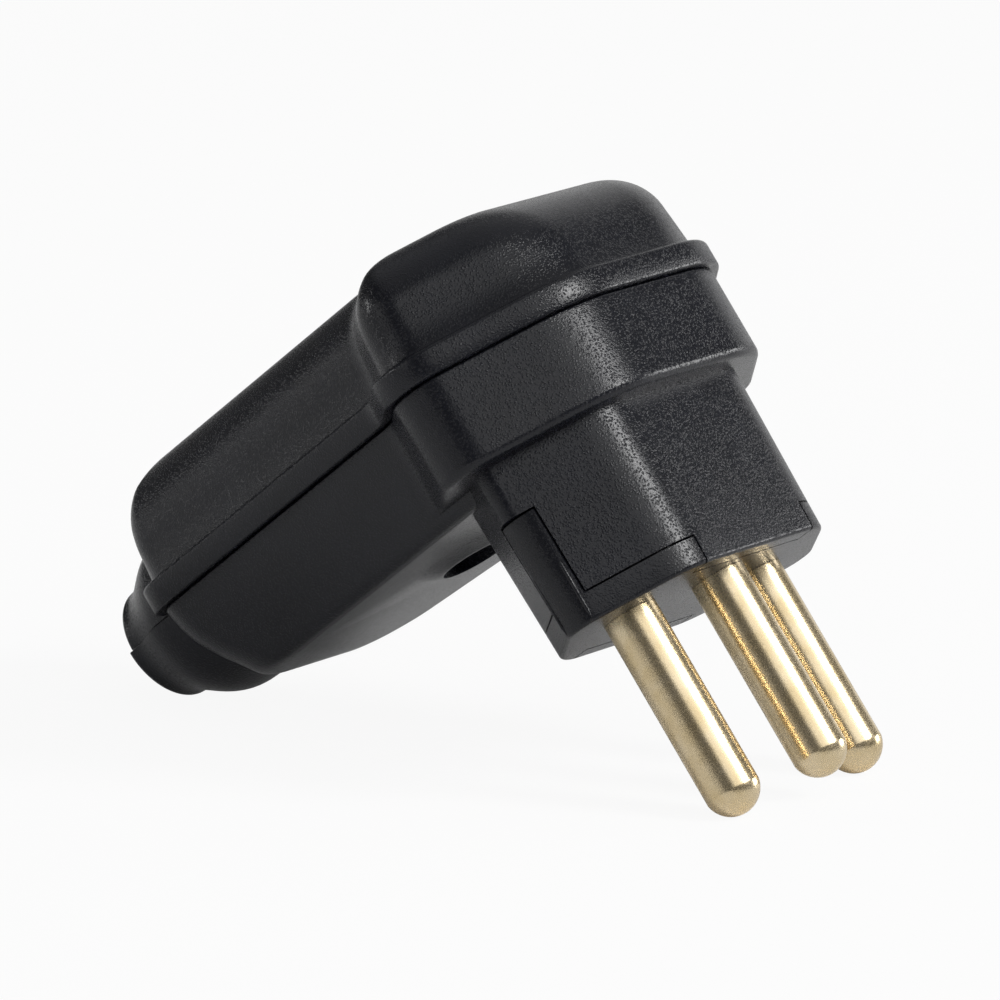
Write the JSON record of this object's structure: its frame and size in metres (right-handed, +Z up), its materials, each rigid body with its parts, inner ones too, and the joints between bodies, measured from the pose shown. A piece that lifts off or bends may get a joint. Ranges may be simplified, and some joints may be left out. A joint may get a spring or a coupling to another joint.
{
  "type": "angled three-pin plug",
  "caption": "Rewirable angled mains plug with round brass pins, hexagonal nose, two-part black housing and a side cable outlet.",
  "frame": {"origin": "centre of the nose's end face, midway between the live pins", "axes": "the plug as it stands on a table on its live pins and the rim of its cable outlet: +Z up, +X along the line of the live pins, the cable outlet on the -Y side and the pins slanting down to +Y"},
  "size_m": [0.044, 0.0714, 0.0476],
  "materials": {
    "housing": "black moulded plastic with a fine eroded grain",
    "insulator": "black moulded plastic",
    "contact": "satin drawn brass",
    "screw": "zinc plated"
  },
  "bodies": {
    "root": {"base_shell": "housing", "top_cover": "housing", "pin_carrier": "insulator", "line_pin": "contact", "neutral_pin": "contact", "earth_pin": "contact", "line_screw": "screw", "neutral_screw": "screw", "earth_screw": "screw", "cord_clamp": "insulator", "clamp_screw_left": "screw", "clamp_screw_right": "screw", "cover_screw": "screw"}
  },
  "joints": []
}
